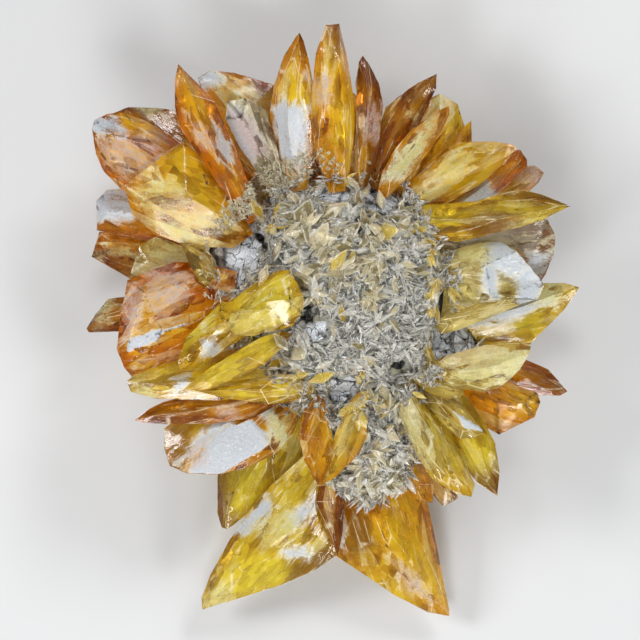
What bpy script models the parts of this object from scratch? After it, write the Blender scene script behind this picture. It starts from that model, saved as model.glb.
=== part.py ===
"""A golden duckbill selenite rosette, lying on its back.

A heart of fine grey crystals stands on a flat spot. Lens-shaped amber crystals ring it in tiers, and two
large blades spread at the foot of the rosette. Sizes are in millimetres until the last step.
+Z is up, out of the flower's face, and the origin is the middle of the flat resting spot.
"""

import math
import random
from collections import namedtuple

import bmesh
import bpy
from mathutils import Matrix, Vector, noise
from mathutils.bvhtree import BVHTree

MM = 0.001

# Air between crystals that touch, and between a crystal and the heart
GAP = 0.34

# The underside of a crystal bulges a little less than its face
UNDER_SHARE = 0.8

# The heart is a flat-topped lump, and the neck a smaller one, where the two foot blades begin. up and down
# are how far the lump reaches above and below its middle, and how full it is there: 2 is a plain ball.
# detail is how finely its surface is faceted.
HEART = {"centre": (0.5, -0.5, 15.5), "radii": (19.5, 19.5), "up": (17.8, 3.0), "down": (19.5, 2.4),
         "detail": 3}
NECK = {"centre": (4.5, -22.0, 15.0), "radii": (9.5, 13.5), "up": (13.0, 2.4), "down": (16.5, 2.2),
        "detail": 3}

# Two ledges of bare clay stand out of the heart's sides, and show between the blades
LEFT_LEDGE = {"centre": (-17.0, 6.5, 19.0), "radii": (5.5, 6.0), "up": (7.2, 2.8), "down": (9.0, 2.4),
              "detail": 2}
RIGHT_LEDGE = {"centre": (18.5, -9.0, 19.0), "radii": (5.0, 5.0), "up": (7.8, 2.8), "down": (9.0, 2.4),
               "detail": 2}
LUMPS = (HEART, NECK, LEFT_LEDGE, RIGHT_LEDGE)
ROUGHNESS = 1.0

# Fine crystals on the face of the heart and on the neck: length, and width and thickness as shares of it
FINE_COUNT = 150
FINE_LENGTH = (4.0, 9.0)
FINE_WIDTH = 0.34
FINE_THICK = 0.20
FINE_SEED = 11

# Blades of the back that no other crystal hides from the side: angle round the heart, reach from its
# middle, height at the root, height at the tip, half width
BACK_BLADES = [
    (88, 33, 19.0, 15.0, 5.5), (116, 35, 18.5, 14.5, 6.0), (148, 36, 18.0, 13.0, 6.0),
    (18, 33, 12.0, 7.0, 6.0), (52, 33, 12.5, 7.5, 6.0), (86, 34, 11.5, 6.5, 6.0), (120, 35, 11.0, 6.0, 6.2),
    (155, 36, 10.5, 6.0, 6.0), (190, 35, 10.5, 5.5, 6.0), (226, 34, 9.5, 5.5, 5.5),
    (303, 36, 11.0, 5.5, 5.5), (338, 34, 10.5, 6.0, 6.0),
]
BACK_TONES = ("orange", "brown", "amber")
BACK_ROOT = 12.0
BACK_ROLL = 12
BACK_CREST = 3.4

# rim is the sharp edge seen from above. crests are points of the face with their height over the rim.
# level is the height of the rim's plane at the root and at the tip, and its roll in degrees.
Blade = namedtuple("Blade", "rim crests level")

# Each entry is one solid. One with two blades is a pair that grew through each other. The order is from
# the front of the rosette to its back: a crystal gives way to those above it in the list.
CRYSTALS = {
    "gold_lens": ("yellow", [Blade(
        [(-8, -7.3), (-10, -6.8), (-13.5, -7.9), (-17, -10.2), (-22, -13), (-26.5, -16.6), (-26.8, -17.3),
         (-22, -16.9), (-16, -14.4), (-12.5, -12.7), (-9, -9.3)],
        [(-11, -8.6, 1.8), (-15.5, -11.4, 2.9), (-21, -14.7, 1.8)], (35.0, 34.5, 6))]),
    "left_leaves": ("amber", [
        Blade([(-20.5, -3.5), (-18.5, -1.6), (-14, 1.5), (-10.5, 3.3), (-8.5, 3.4), (-7.2, 1.2),
               (-5.9, -1.4), (-6.3, -4.2), (-8, -6.2), (-11, -7.1), (-15, -7.9), (-19, -7.5)],
              [(-17, -4, 2.3), (-12.5, -2, 3.4), (-8.6, -1.6, 2.6)], (37.0, 33.5, -4)),
        Blade([(-16, -2.4), (-20, -1.8), (-23, -4.8), (-26, -8), (-27.6, -12), (-27, -13.6), (-24, -13.3),
               (-19, -10), (-15.5, -7.6), (-14, -4)],
              [(-24.5, -10.5, 1.8), (-21, -6.8, 3.0), (-18, -4.8, 2.2)], (31.5, 33.0, 8))]),
    "yellow_lens": ("yellow", [Blade(
        [(-25, -17), (-19, -18.6), (-12, -19.5), (-7, -18.7), (-5.2, -17), (-6.5, -15), (-10, -14.1),
         (-14, -14.6), (-20, -15.5)],
        [(-20, -17, 1.4), (-13.5, -16.8, 2.5), (-8.5, -16.8, 1.8)], (30.6, 32.5, -6))]),
    "twin_kites": ("amber", [
        Blade([(-3.4, -33.3), (-4.6, -31.8), (-6.1, -29), (-7.1, -24.3), (-6.3, -20.5), (-4.2, -17.2),
               (-3.0, -17.6), (-2.2, -20), (-0.9, -26.5), (-1.2, -31)],
              [(-3.6, -30.5, 1.3), (-3.7, -25, 3.2), (-4.0, -21, 2.3)], (27.6, 32.6, 8)),
        Blade([(4.4, -16.8), (4.9, -19), (4.6, -25), (2.6, -28.6), (-0.8, -31.8), (-3.2, -33.1),
               (-2.4, -29.8), (-0.2, -21.8), (1.8, -18.5), (3.3, -16.9)],
              [(-1.6, -30.8, 1.2), (0.8, -26.5, 3.0), (2.6, -21.5, 3.0),
               (3.8, -18.4, 1.3)], (27.6, 32.6, -8))]),
    "top_pair": ("orange", [
        Blade([(-2.5, 44.8), (-0.1, 45.0), (1.1, 40), (2.4, 33), (2.6, 28), (1.7, 20), (0.8, 16), (-1.8, 16),
               (-4.0, 22), (-5, 28), (-5.0, 33), (-4.2, 40)],
              [(-0.1, 43.5, 1.0), (0.2, 38, 2.9), (0.8, 31, 3.6), (0.9, 22, 2.1), (-3, 36, 1.6),
               (-3.3, 29, 2.1)],
              (27.4, 35.6, 4)),
        Blade([(-6.8, 43.6), (-7.6, 42.8), (-9.6, 39.5), (-11.3, 34.5), (-12, 30), (-11.5, 26), (-9.5, 20),
               (-8, 16.5), (-5.5, 17), (-4, 24), (-4, 32), (-5, 38), (-6, 42)],
              [(-7.4, 41, 1.2), (-8.6, 34, 3.0), (-8.9, 28, 3.1), (-8, 21, 2.0), (-6, 33, 2.2)],
              (27.1, 33.8, -10))]),
    "top_needle": ("brown", [Blade(
        [(3.8, 39.8), (5, 38.3), (6.6, 35), (7.4, 31), (6.8, 25), (5.2, 19), (4.2, 15.5), (2.6, 16),
         (1.9, 22), (1.8, 30), (2.4, 35), (3.0, 38.5)],
        [(4.2, 38.2, 0.8), (4.5, 34, 2.0), (4.2, 28, 2.2), (3.7, 20, 1.6)], (26.7, 33.1, 16))]),
    "pale_petal": ("pale", [Blade(
        [(18.6, 31.3), (16, 30.2), (12, 27.2), (9.3, 24), (7, 20), (6.2, 16.5), (8, 15.3), (11, 18.5),
         (15, 23), (17.3, 27), (18.5, 29.5)],
        [(17.3, 29.5, 0.9), (14.5, 26.5, 2.2), (11.5, 22.8, 2.5), (8.5, 18.5, 1.8)], (27.5, 34.4, 10))]),
    "brown_spear": ("brown", [Blade(
        [(16.4, 36.6), (13, 35), (9.5, 32.5), (7.7, 31), (5.2, 24), (4.6, 18.5), (6, 16), (8, 18),
         (9.5, 22.5), (13, 27), (15, 31), (16.3, 34)],
        [(15.5, 35, 0.8), (12.8, 31.5, 2.2), (9.8, 27, 2.5), (7, 21, 1.8)], (25.4, 31.6, -14))]),
    "orange_spear": ("orange", [Blade(
        [(-27.4, 38.4), (-28, 35.5), (-28.1, 31), (-27.3, 27.5), (-24, 22.5), (-19, 15.5), (-15.5, 11),
         (-13.4, 12), (-14.8, 16.5), (-16.5, 21), (-18.3, 26), (-21, 31.8), (-24, 34.3), (-26.2, 37)],
        [(-26.6, 36.5, 1.0), (-25.2, 33, 2.7), (-23.3, 28, 3.5), (-20.5, 22.5, 3.0), (-17, 16, 2.0)],
        (28.0, 34.5, 8))]),
    "right_spear": ("yellow", [
        Blade([(39, 14.1), (37, 13.1), (34, 11.6), (30, 10.4), (25, 9.2), (20, 8), (15.5, 8.5), (12.5, 10.5),
               (11.5, 13), (14.5, 14.5), (20, 14.8), (26, 15.3), (32, 15.4), (37, 14.6)],
              [(36, 13.7, 1.0), (30, 12.8, 2.5), (24, 12.0, 3.2), (18, 11.6, 2.7)], (27.5, 34.4, -6)),
        Blade([(38.6, 14.4), (34.2, 16.2), (31, 17), (28, 16.6), (21, 14.5), (19, 12), (30, 11.5)],
              [(33, 14.8, 1.3), (26, 14.2, 2.0)], (26.7, 33.2, 8))]),
    "pale_lens": ("pale", [Blade(
        [(17, -7.6), (20, -6.9), (25, -5), (30.5, -2.6), (28, -1.6), (23, -2.2), (18.5, -4.2), (15, -5.5)],
        [(26.5, -2.9, 1.2), (22, -4.2, 1.8), (18.3, -5.8, 1.2)], (28.3, 35.9, 8))]),
    "clear_lens": ("pale", [Blade(
        [(32.4, -9.3), (32.2, -10.5), (30.5, -13.5), (29.3, -14.7), (27, -16.6), (24, -17.4), (20, -16.8),
         (16.5, -15), (14, -12.5), (18, -11.0), (22, -9.8), (26, -8.8), (30, -8.6)],
        [(29.5, -11.5, 1.8), (25.5, -13, 2.9), (20.5, -13.8, 2.5)], (27.6, 33.8, 6))]),
    "small_leaf": ("pale", [Blade(
        [(11.5, -14.4), (15.5, -13.6), (18, -14.2), (20.2, -15.6), (21.3, -17.5), (20, -18.4), (18, -18.7),
         (14.5, -17.4)],
        [(18.4, -16.4, 1.4), (15, -15.8, 1.3)], (26.5, 29.1, 0))]),
    "frosted_lens": ("pale", [Blade(
        [(-36.6, 17.6), (-35, 18.9), (-30, 20.5), (-28.5, 24), (-26.5, 25.2), (-24, 23.2), (-20.5, 19),
         (-17, 12.3), (-14.5, 9.5), (-18, 7.0), (-25, 7.2), (-31, 9), (-35.3, 12.8)],
        [(-32, 14.5, 2.6), (-26, 16, 3.9), (-21, 13, 3.2)], (27.5, 31.9, -4))]),
    "silver_leaf": ("silver", [Blade(
        [(-19.2, 32), (-19.5, 29), (-17, 24), (-13, 18), (-10.5, 15), (-9, 18), (-10, 23), (-12.5, 28),
         (-13.5, 31), (-16, 32.5)],
        [(-16.5, 29, 1.7), (-13.5, 23.5, 2.1)], (25.7, 29.4, 6)), Blade(
        [(-14, 31.3), (-13, 27), (-10.5, 21), (-9, 16), (-8, 17), (-8.5, 22), (-10.5, 27), (-12.5, 30.5)],
        [(-11, 24.5, 1.2)], (26.0, 30.4, -10))]),
    "little_leaf": ("pale", [Blade(
        [(-27.3, 8.2), (-25.4, 4), (-23.8, 1.2), (-22.2, 0.4), (-21.2, 2.6), (-21.4, 5.6), (-23, 7.8)],
        [(-23.6, 4.6, 1.8), (-22.6, 3, 1.5)], (28.0, 30.4, 6))]),
    "striped_blade": ("pale", [Blade(
        [(18, -31.2), (17.2, -32.5), (14.5, -30.3), (11.5, -25), (9.5, -20.5), (8.5, -15.5), (12, -16),
         (15, -22.8), (17.2, -27)],
        [(16.3, -30.3, 0.9), (14, -26, 2.1), (11.5, -21, 2.0)], (27.2, 31.1, 10))]),
    "white_facet": ("silver", [Blade(
        [(13.5, -15.5), (17, -16.6), (20.7, -19.3), (24.7, -24.2), (22.5, -25.2), (20.3, -25.3), (17.5, -23),
         (14, -19)],
        [(19.3, -20.8, 2.3), (20.8, -23.8, 1.7), (17.3, -19.2, 2.1)], (23.7, 29.0, 0))]),
    "glare_wing": ("silver", [Blade(
        [(27, 8.3), (30, 6.7), (32.5, 3.7), (34.6, 0.9), (33.6, -1.6), (29.5, -2.6), (24, -3.4), (18.5, -6),
         (14, -5), (14, 3.5), (18, 6.6), (23, 8)],
        [(24.9, 7.0, 1.5), (24.8, 4.2, 3.3), (25.3, -1.4, 3.2), (20.5, 2.5, 2.9), (32.4, 0.6, 0.9)],
        (25.7, 29.6, -4))]),
    "amber_petal": ("amber", [Blade(
        [(30, 24.2), (29, 24.8), (25, 25.2), (20, 25), (17, 23.6), (12, 19), (10, 14.5), (13, 12.5),
         (19, 15), (24, 18), (28, 21.5)],
        [(27, 23.3, 1.3), (22.5, 22, 2.7), (17.5, 19.5, 2.7), (14, 16.5, 2.0)], (25.1, 29.3, 8))]),
    "left_long_blade": ("yellow", [Blade(
        [(-36.3, -15.4), (-35.5, -17.4), (-31, -18.6), (-20, -18.8), (-11, -17.5), (-9, -11), (-16, -9.5),
         (-24, -11), (-30, -12.4), (-35, -14.4)],
        [(-33, -15.8, 1.6), (-26, -15.6, 2.5), (-18, -15.5, 2.5)], (25.6, 30.1, 6))]),
    "pink_plate": ("orange", [Blade(
        [(-36.1, 1.7), (-37.3, -5), (-37.9, -10), (-36.6, -13.2), (-35, -15.2), (-30, -15), (-24, -13),
         (-17, -8), (-13, -1), (-17, 3), (-24, 4.8), (-28, 4.8), (-33, 3)],
        [(-36, -9.2, 1.7), (-30, -7.2, 3.6), (-25.5, -5.8, 3.9), (-33, -0.6, 2.9), (-26, 1.5, 3.2)],
        (25.1, 28.1, -4))]),
    "big_pink_plate": ("orange", [Blade(
        [(-42.1, 27.4), (-41.6, 28.8), (-39.5, 29.9), (-37, 30.2), (-33, 28.8), (-28.3, 26), (-22, 21),
         (-14, 13), (-15.5, 9.5), (-28, 13), (-37.2, 17), (-40.1, 20), (-41.4, 23)],
        [(-39.6, 26.6, 2.2), (-38.4, 21.6, 2.1), (-32, 25, 3.3), (-32.5, 19.2, 2.8), (-25, 18.5, 3.6),
         (-20, 15, 2.9)],
        (23.8, 27.6, 4))]),
    "red_blade": ("orange", [Blade(
        [(-35.1, -22.1), (-32.5, -20), (-30, -18.8), (-22, -17.5), (-11, -14.5), (-8.5, -17), (-14, -21.8),
         (-22, -22.8), (-30, -22.9), (-33.5, -22.7)],
        [(-31, -21.2, 1.3), (-24, -20.3, 2.3), (-16, -18.7, 2.5)], (23.0, 25.3, -8))]),
    "lower_right_blade": ("yellow", [Blade(
        [(22.3, -35.2), (19.5, -34.6), (15, -31.7), (12.5, -27), (11, -20), (10.5, -13.5), (14, -13.5),
         (17.5, -21), (20.5, -28), (23, -33)],
        [(21, -33, 1.0), (18, -29, 2.3), (15.2, -23.5, 2.7), (13, -18, 2.3)], (23.9, 25.7, -8))]),
    "yellow_fang": ("yellow", [Blade(
        [(26.8, -35.2), (23.2, -32.8), (20.5, -29.5), (17, -23), (13, -13.5), (16, -12), (22, -18.5),
         (25, -23.3), (26.4, -26), (27.2, -31)],
        [(26, -33, 1.0), (24, -28.5, 2.3), (21, -23.5, 2.7), (17.5, -17.5, 2.3)], (21.3, 23.5, 6))]),
    "dark_brown_tip": ("amber", [Blade(
        [(8.2, -24.5), (11, -23), (13.5, -28.5), (16, -33), (15.8, -36.2), (13, -36), (10.5, -33),
         (8, -28.5)],
        [(13.5, -33, 2.0), (11, -27.5, 2.1)], (22.6, 19.6, -8))]),
    "smoky_disc": ("brown", [Blade(
        [(35.3, 12), (36.6, 9.3), (36.4, 6), (35, 2.6), (33.5, 0.5), (28, -1.5), (16, 0), (14, 5), (17, 10),
         (28, 13.5), (33, 13.2)],
        [(33, 7.5, 2.0), (27, 6.5, 2.9), (21, 5.5, 2.9)], (21.7, 23.1, 4))]),
    "right_sail": ("amber", [Blade(
        [(40.6, 0.5), (38, 1.3), (34.5, 1.2), (27, -2.2), (16, -3.5), (13, -7), (15, -10.5), (25, -9.5),
         (32.3, -9.3), (35.4, -5.3), (38, -3.4), (40.1, -0.5)],
        [(36, -0.9, 1.7), (31, -2.8, 2.7), (26, -4.2, 3.0), (19, -6.5, 2.6)], (21.9, 26.0, 6))]),
    "deep_orange_petal": ("orange", [Blade(
        [(31.8, 22.1), (30.6, 24), (27.5, 23.5), (22, 20), (13, 13), (14.5, 8.5), (25, 14.5), (29, 18),
         (31.8, 20.8)],
        [(29.5, 21.5, 1.7), (26, 18.8, 2.7), (19, 13.5, 2.7)], (20.8, 23.7, 6))]),
    "amber_slab": ("orange", [Blade(
        [(33.6, -17.5), (34.1, -19), (33.1, -21.6), (30, -22.3), (27, -24.6), (21, -21.5), (13, -14),
         (14.5, -10), (21, -12.5), (28, -15.4)],
        [(31, -19.3, 2.0), (26.5, -18.9, 2.7), (19, -15, 2.6)], (18.7, 20.8, 4))]),
    "brown_fan_plate": ("brown", [Blade(
        [(-24.2, 36), (-22, 37.3), (-18, 36.9), (-13, 35.5), (-11, 34.8), (-7, 26), (-4, 14.5), (-9, 13),
         (-16, 18), (-22, 28)],
        [(-20, 34.8, 1.7), (-15, 31, 2.9), (-10, 21, 3.1)], (22.1, 25.6, -4))]),
    "ragged_plate": ("pale", [
        Blade([(15.0, 32.6), (16.9, 33.4), (18.4, 32.4), (20, 31.6), (21.2, 28), (21.6, 25), (18, 19),
               (11.5, 12), (6.5, 14.5), (10, 24)],
              [(16.8, 31, 1.4), (18.5, 28, 2.3), (13, 20, 2.9)], (20.8, 23.4, 6)),
        Blade([(22.3, 28.9), (20, 27), (16, 20), (18, 18), (21, 20.5), (22.5, 24.5)],
              [(21, 25, 1.2), (18.6, 21.5, 1.4)], (21.6, 24.8, -10))]),
    "striated_block": ("orange", [Blade(
        [(-41.5, 15.2), (-39.6, 17.1), (-37, 17.3), (-32, 16.5), (-22, 13), (-14, 7.5), (-15, 4.5),
         (-33, 8.5), (-41.4, 10)],
        [(-39.5, 13.2, 2.3), (-33, 13, 3.2), (-22, 9, 3.2)], (20.2, 21.5, 4))]),
    "cream_triangle": ("pale", [Blade(
        [(-36, 1.8), (-34.1, 7.6), (-31.5, 9.2), (-27, 7.5), (-16, 4), (-14, 1), (-22, -1), (-33, 1.2)],
        [(-32.5, 4.6, 1.6), (-26, 3.4, 2.1), (-20, 2.4, 2.1)], (21.5, 23.1, -6))]),
    "glare_plate": ("amber", [Blade(
        [(-30, -23.5), (-30, -27), (-29, -30), (-26, -31.3), (-21, -31.5), (-16, -30.4), (-11, -28),
         (-8, -24.7), (-5.5, -19), (-5, -13), (-13, -11.5), (-19, -17.5), (-26, -21.8)],
        [(-16, -21.5, 3.8), (-12, -26.2, 2.2), (-26.5, -25.4, 1.3), (-21.5, -22.6, 2.1), (-9.5, -20.5, 3.0)],
        (18.8, 20.8, 6))]),
    "dark_wing": ("brown", [Blade(
        [(-39.3, 29.8), (-36, 31.1), (-31, 31), (-28, 30.7), (-22, 26), (-13, 16), (-11, 10.5), (-15, 9.5),
         (-28, 19), (-37, 28)],
        [(-34, 29.6, 1.4), (-27, 24.5, 2.7), (-18, 15.5, 2.9)], (17.5, 20.2, 0))]),
    "left_spear": ("amber", [Blade(
        [(-42.4, 5.6), (-41.5, 8), (-41, 10), (-33, 10), (-22, 8), (-14, 3.5), (-15, 0), (-24, 0.5),
         (-31, 1.3), (-36, 2), (-40, 4.3)],
        [(-39.5, 6.6, 1.8), (-33, 6, 2.9), (-22, 3.8, 2.9)], (15.5, 16.9, -4))]),
    "red_spear": ("orange", [Blade(
        [(38.9, -17.3), (37.5, -18.1), (33.5, -18), (28, -17.5), (18, -11.5), (14, -6.5), (19, -6.5),
         (30.5, -11.5), (33, -12.3), (35.6, -13.4)],
        [(36, -16, 1.2), (31.5, -14.8, 2.5), (24, -11.6, 2.9), (18.5, -9, 2.6)], (15.7, 15.3, -6))]),
    "orange_stub": ("orange", [Blade(
        [(34.8, 19.9), (33.3, 21.2), (31.5, 21.2), (24, 16.5), (13, 9), (14.5, 4.5), (31, 15.5),
         (33.8, 18.2)],
        [(32.8, 19.6, 1.4), (29, 16.5, 2.5), (20, 10.5, 2.7)], (15.1, 16.8, 4))]),
    "brown_stub": ("brown", [Blade(
        [(-43.3, -6.6), (-42.8, -7.3), (-38, -6.9), (-30, -7), (-14, -6), (-14, -1), (-30, -0.5),
         (-38, -1.1), (-39.6, -1.4), (-41.6, -3.9)],
        [(-40.5, -4.8, 1.6), (-36, -4, 2.6), (-24, -3.6, 3.1)], (17.1, 13.7, 6))]),
    "lower_left_crystal": ("yellow", [Blade(
        [(-21, -31), (-21, -38), (-20.2, -40.5), (-19.2, -40.9), (-12, -35.6), (-6, -30), (-3, -20),
         (-5, -12), (-12, -11.5), (-18, -24)],
        [(-19, -37.5, 1.8), (-15, -31, 3.2), (-10, -22, 3.6)], (14.6, 10.1, 6))]),
    "red_tip": ("brown", [Blade(
        [(20.3, -35.6), (17.5, -37), (14.5, -33.5), (9.5, -24), (8, -14), (12.5, -12), (18, -27)],
        [(17.8, -34, 1.4), (14.5, -27, 2.6), (11, -18, 2.9)], (17.1, 16.0, 8))]),
    "inner_foot": ("brown", [Blade(
        [(-4.2, -36), (-3, -30), (0, -28), (1, -34), (0.6, -41), (-0.3, -45.6), (-2, -42)],
        [(-1.2, -42.6, 1.0), (-1.4, -36, 2.2)], (21.5, 14.8, 4))]),
    "left_foot": ("yellow", [Blade(
        [(-23.6, -54.7), (-23.8, -52.5), (-22.2, -48.5), (-19.2, -43), (-16, -38), (-12.2, -33.5),
         (-8.2, -30.6), (-2, -24), (1, -25), (-0.6, -38), (-0.6, -45.4), (-4, -47.7), (-10, -50.5),
         (-18, -52.9)],
        [(-4.5, -33.5, 3.4), (-6.5, -39.5, 4.4), (-12, -43.5, 4.3), (-18, -47.5, 3.0), (-21.5, -51.5, 1.4)],
        (19.6, 6.7, 6))]),
    "right_foot": ("amber", [Blade(
        [(18.8, -55.8), (18.8, -54.5), (17.9, -51), (17.1, -46.5), (15.9, -42), (15.5, -38), (14.5, -34),
         (9, -26), (3, -25), (-0.5, -33), (-1.4, -38), (-0.9, -45.3), (4, -48.2), (9, -52), (15, -55.2)],
        [(4, -34.5, 4.2), (9, -42, 5.1), (13, -47, 4.0), (17, -52.3, 1.7)], (17.8, 5.2, -6))]),
}

# Colour and roughness of each kind of crystal
TONES = {
    "orange": ((0.80, 0.26, 0.03), 0.12),
    "amber": ((0.80, 0.42, 0.04), 0.12),
    "yellow": ((0.80, 0.55, 0.05), 0.12),
    "pale": ((0.82, 0.70, 0.30), 0.18),
    "brown": ((0.45, 0.16, 0.04), 0.15),
    "silver": ((0.80, 0.76, 0.66), 0.20),
    "heart": ((0.56, 0.54, 0.46), 0.45),
}


def back_blade(angle, reach, root_z, tip_z, half_width):
    """A plain pointed blade that leaves the heart at an angle."""
    turn = Matrix.Rotation(math.radians(angle), 2)
    runs = [(BACK_ROOT, 0.7), (0.62 * reach, 1.0), (0.82 * reach, 0.72), (0.94 * reach, 0.34)]
    rim = [turn @ Vector((run, side * half_width * share)) for run, share in runs for side in (-1, 1)]
    rim.append(turn @ Vector((reach, 0)))
    middles = [turn @ Vector((share * reach, 0.2 * half_width)) for share in (0.5, 0.72, 0.9)]
    crests = [(x, y, BACK_CREST * high) for (x, y), high in zip(middles, (1.0, 0.85, 0.35))]
    return Blade([tuple(corner) for corner in rim], crests, (root_z, tip_z, BACK_ROLL))


def corners(blade):
    """Every corner of a crystal: its rim, its face and its underside."""
    middle = sum((Vector(corner) for corner in blade.rim), Vector((0, 0))) / len(blade.rim)
    out = middle.normalized()
    across = Vector((out.y, -out.x))
    runs = [Vector(corner).dot(out) for corner in blade.rim]
    root_z, tip_z, roll = blade.level

    def plane(x, y):
        share = (Vector((x, y)).dot(out) - min(runs)) / (max(runs) - min(runs))
        side = (Vector((x, y)) - middle).dot(across)
        return root_z + (tip_z - root_z) * share - math.tan(math.radians(roll)) * side

    found = [Vector((x, y, plane(x, y))) for x, y in blade.rim]
    for x, y, high in blade.crests:
        found.append(Vector((x, y, plane(x, y) + high)))
        found.append(Vector((x, y, plane(x, y) - high * UNDER_SHARE)))
    return found


def hull_mesh(points, swell=0.0):
    """The flat-faced body that spans a set of corners, made bigger all round by swell."""
    bm = bmesh.new()
    for point in points:
        bm.verts.new(point)
    hull = bmesh.ops.convex_hull(bm, input=bm.verts[:], use_existing_faces=False)
    unused = {item for key in ("geom_interior", "geom_unused") for item in hull[key]}
    loose = [item for item in unused if isinstance(item, bmesh.types.BMVert)]
    bmesh.ops.delete(bm, geom=loose, context="VERTS")
    bmesh.ops.recalc_face_normals(bm, faces=bm.faces)
    bm.normal_update()
    moves = [(vert, vert.normal * swell * vert.calc_shell_factor()) for vert in bm.verts]
    for vert, move in moves:
        vert.co += move
    return bm


def lump_mesh(lump, swell=0.0):
    """A rounded lump with a rough faceted surface, flat where it was broken off at the bottom."""
    centre = Vector(lump["centre"])
    bm = bmesh.new()
    bmesh.ops.create_icosphere(bm, subdivisions=lump["detail"], radius=1.0)
    for vert in bm.verts:
        way = vert.co.normalized()
        height, fullness = lump["up"] if way.z > 0 else lump["down"]
        radii = (*lump["radii"], height)
        flat = math.hypot(way.x, way.y)
        square = (flat**fullness + abs(way.z) ** fullness) ** (1 / fullness)
        rough = ROUGHNESS * noise.noise(way * 2.7 + centre)
        vert.co = centre + Vector([w / square * (r + rough + swell) for w, r in zip(way, radii)])
    cut = bmesh.ops.bisect_plane(
        bm, geom=bm.verts[:] + bm.edges[:] + bm.faces[:], plane_co=(0, 0, -swell), plane_no=(0, 0, -1),
        clear_outer=True,
    )
    rim = [item for item in cut["geom_cut"] if isinstance(item, bmesh.types.BMEdge)]
    if rim:
        bmesh.ops.holes_fill(bm, edges=rim, sides=0)
    bmesh.ops.recalc_face_normals(bm, faces=bm.faces)
    return bm


def object_from(name, bm):
    """A mesh object in the scene from a bmesh."""
    mesh = bpy.data.meshes.new(name)
    bm.to_mesh(mesh)
    bm.free()
    item = bpy.data.objects.new(name, mesh)
    bpy.context.scene.collection.objects.link(item)
    return item


def combine(target, other, operation):
    """Joins another mesh to the target, or cuts it away, and removes the other."""
    modifier = target.modifiers.new(operation, "BOOLEAN")
    modifier.operation = operation
    modifier.solver = "EXACT"
    modifier.object = other
    evaluated = target.evaluated_get(bpy.context.evaluated_depsgraph_get())
    result = bpy.data.meshes.new_from_object(evaluated)
    target.modifiers.clear()
    spent = target.data
    target.data = result
    bpy.data.meshes.remove(spent)
    bpy.data.objects.remove(other)


def islands(bm):
    """The faces of each separate body in a bmesh."""
    left = set(bm.faces)
    found = []
    while left:
        body = {left.pop()}
        edge_of_search = list(body)
        while edge_of_search:
            face = edge_of_search.pop()
            near = {other for edge in face.edges for other in edge.link_faces} & left
            left -= near
            body |= near
            edge_of_search.extend(near)
        found.append(body)
    return found


def extent(body):
    """The surface area of a body."""
    return sum(face.calc_area() for face in body)


def keep_main_body(item):
    """Drops the crumbs that a cut leaves."""
    bm = bmesh.new()
    bm.from_mesh(item.data)
    bodies = sorted(islands(bm), key=extent)
    for body in bodies[:-1]:
        bmesh.ops.delete(bm, geom=list(body), context="FACES")
    bmesh.ops.delete(bm, geom=[v for v in bm.verts if not v.link_faces], context="VERTS")
    bm.to_mesh(item.data)
    bm.free()


def tone_material(tone):
    """The plain finish of one kind of crystal."""
    colour, roughness = TONES[tone]
    material = bpy.data.materials.get(tone) or bpy.data.materials.new(tone)
    material.use_nodes = True
    shader = material.node_tree.nodes["Principled BSDF"]
    shader.inputs["Base Color"].default_value = (*colour, 1.0)
    shader.inputs["Roughness"].default_value = roughness
    shader.inputs["Metallic"].default_value = 0.0
    material.diffuse_color = (*colour, 1.0)
    return material


def box_of(points):
    """Lowest and highest corner of a set of points, with the gap round them."""
    low = [min(point[axis] for point in points) - 2 * GAP for axis in range(3)]
    high = [max(point[axis] for point in points) + 2 * GAP for axis in range(3)]
    return low, high


def meets(one, other):
    """Whether two boxes overlap."""
    return all(one[0][axis] < other[1][axis] and other[0][axis] < one[1][axis] for axis in range(3))


def make_crystals():
    """Every crystal, cut back where it meets the heart or a crystal in front of it."""
    groups = dict(CRYSTALS)
    for number, measures in enumerate(BACK_BLADES):
        groups[f"back_blade_{number + 1}"] = (BACK_TONES[number % len(BACK_TONES)], [back_blade(*measures)])
    made, done = {}, []
    for name, (tone, blades) in groups.items():
        item = object_from(name, hull_mesh(corners(blades[0])))
        for blade in blades[1:]:
            combine(item, object_from("other", hull_mesh(corners(blade))), "UNION")
        for lump in LUMPS:
            combine(item, object_from("lump_room", lump_mesh(lump, GAP)), "DIFFERENCE")
        box = box_of([corner for blade in blades for corner in corners(blade)])
        for earlier in done:
            if meets(box, box_of(earlier)):
                combine(item, object_from("room", hull_mesh(earlier, GAP)), "DIFFERENCE")
        done.extend(corners(blade) for blade in blades)
        keep_main_body(item)
        item.data.materials.clear()
        item.data.materials.append(tone_material(tone))
        made[name] = item
    return made


def tree_of(item):
    """A search tree of a mesh object."""
    bm = bmesh.new()
    bm.from_mesh(item.data)
    tree = BVHTree.FromBMesh(bm)
    bm.free()
    return tree


def fine_corners(middle, lie, normal, length, roll):
    """A small flat crystal, pointed at both ends."""
    right = Matrix.Rotation(roll, 3, lie) @ lie.cross(normal).normalized()
    face = right.cross(lie)
    ends = [middle - lie * length * 0.5, middle + lie * length * 0.5]
    sides = [middle + right * side * length * FINE_WIDTH * 0.5 for side in (-1, 1)]
    faces = [middle + face * side * length * FINE_THICK * 0.5 for side in (-1, 1)]
    return ends + sides + faces


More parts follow.
